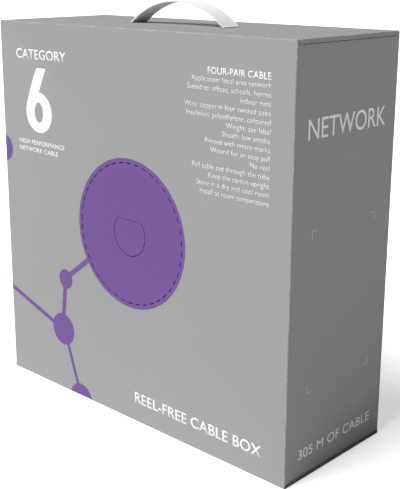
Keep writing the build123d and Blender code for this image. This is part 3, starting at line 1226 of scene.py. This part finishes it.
class CABLEBOX_OT_payout(bpy.types.Operator):
    """Finish the payout tube"""

    bl_idname = "cablebox.payout"
    bl_label = "Payout tube"

    def execute(self, context):
        dress("payout_tube", moulded("tube plastic", (0.60, 0.60, 0.585), 0.48, 0.4, 0.06))
        return {"FINISHED"}


# ---- stage


class CABLEBOX_OT_stage(bpy.types.Operator):
    """Lay the floor, set the soft light and place the camera"""

    bl_idname = "cablebox.stage"
    bl_label = "Stage"

    def execute(self, context):
        settings = context.scene.cable_box.stage
        self.floor(settings)
        self.light(settings)
        self.camera(settings)
        context.scene.view_settings.view_transform = "Standard"
        return {"FINISHED"}

    def floor(self, settings):
        deselect()
        bpy.ops.mesh.primitive_circle_add(vertices=128, radius=settings.floor_radius, fill_type="NGON")
        floor = named(bpy.context.object, "floor")
        material, tree, shader = new_material("pale floor")
        shader.inputs["Base Color"].default_value = (0.97, 0.97, 0.97, 1)
        shader.inputs["Roughness"].default_value = 0.9
        shader.inputs["Specular IOR Level"].default_value = 0.1
        shader.inputs["Emission Color"].default_value = (1, 1, 1, 1)
        seen = tree.nodes.new("ShaderNodeLightPath").outputs["Is Camera Ray"]
        tree.links.new(calc(tree, "MULTIPLY", seen, settings.glow), shader.inputs["Emission Strength"])
        floor.data.materials.append(material)

    def light(self, settings):
        world = bpy.data.worlds.new("soft studio")
        bpy.context.scene.world = world
        world.use_nodes = True
        tree = world.node_tree
        background = tree.nodes["Background"]
        background.inputs["Color"].default_value = (1, 1, 1, 1)
        seen = tree.nodes.new("ShaderNodeLightPath").outputs["Is Camera Ray"]
        strength = calc(tree, "MULTIPLY_ADD", seen, 1.0 - settings.ambient, settings.ambient)
        tree.links.new(strength, background.inputs["Strength"])
        self.sun("key_light", KEY_TRAVEL, settings.key, settings.softness)
        self.sun("fill_light", FILL_TRAVEL, settings.fill, settings.softness)

    @staticmethod
    def sun(name, travel, strength, softness):
        """A broad soft light that travels in one direction."""
        deselect()
        bpy.ops.object.light_add(type="SUN", location=-3 * Vector(travel))
        lamp = bpy.context.object
        lamp.name = name
        lamp.data.energy = strength
        lamp.data.angle = softness
        lamp.rotation_euler = Vector(travel).to_track_quat("-Z", "Y").to_euler()

    def camera(self, settings):
        low, high = CABLEBOX_OT_boards.carton_corners()
        width = high.x - low.x
        turn, tilt = CAMERA_TURN, CAMERA_TILT
        deselect()
        bpy.ops.object.camera_add(location=Vector(CAMERA_PLACE) * width)
        camera = bpy.context.object
        camera.name = "camera"
        view = Vector((-math.sin(turn), math.cos(turn), -math.tan(tilt)))
        camera.rotation_euler = view.to_track_quat("-Z", "Y").to_euler()
        camera.data.lens = settings.lens
        camera.data.shift_x, camera.data.shift_y = CAMERA_SHIFT
        bpy.context.scene.camera = camera


# ---- panel and registration


class CABLEBOX_PT_sidebar(bpy.types.Panel):
    """The cable box's operators, as buttons"""

    bl_idname = "CABLEBOX_PT_sidebar"
    bl_label = "Cable box"
    bl_space_type = "VIEW_3D"
    bl_region_type = "UI"
    bl_category = "Cable box"

    def draw(self, context):
        for operator in OPERATORS:
            self.layout.operator(operator.bl_idname)


OPERATORS = (
    CABLEBOX_OT_boards,
    CABLEBOX_OT_knockout,
    CABLEBOX_OT_front_print,
    CABLEBOX_OT_side_print,
    CABLEBOX_OT_strap,
    CABLEBOX_OT_coil,
    CABLEBOX_OT_payout,
    CABLEBOX_OT_stage,
)
CLASSES = (
    BoardSettings,
    PrintSettings,
    StrapSettings,
    CoilSettings,
    StageSettings,
    CableBoxSettings,
    *OPERATORS,
    CABLEBOX_PT_sidebar,
)


def register():
    for each in CLASSES:
        bpy.utils.register_class(each)
    bpy.types.Scene.cable_box = PointerProperty(type=CableBoxSettings)


def unregister():
    del bpy.types.Scene.cable_box
    for each in reversed(CLASSES):
        bpy.utils.unregister_class(each)


def main():
    register()
    build_groups()
    for operator in OPERATORS:
        family, name = operator.bl_idname.split(".")
        getattr(getattr(bpy.ops, family), name)()


if __name__ == "__main__":
    main()
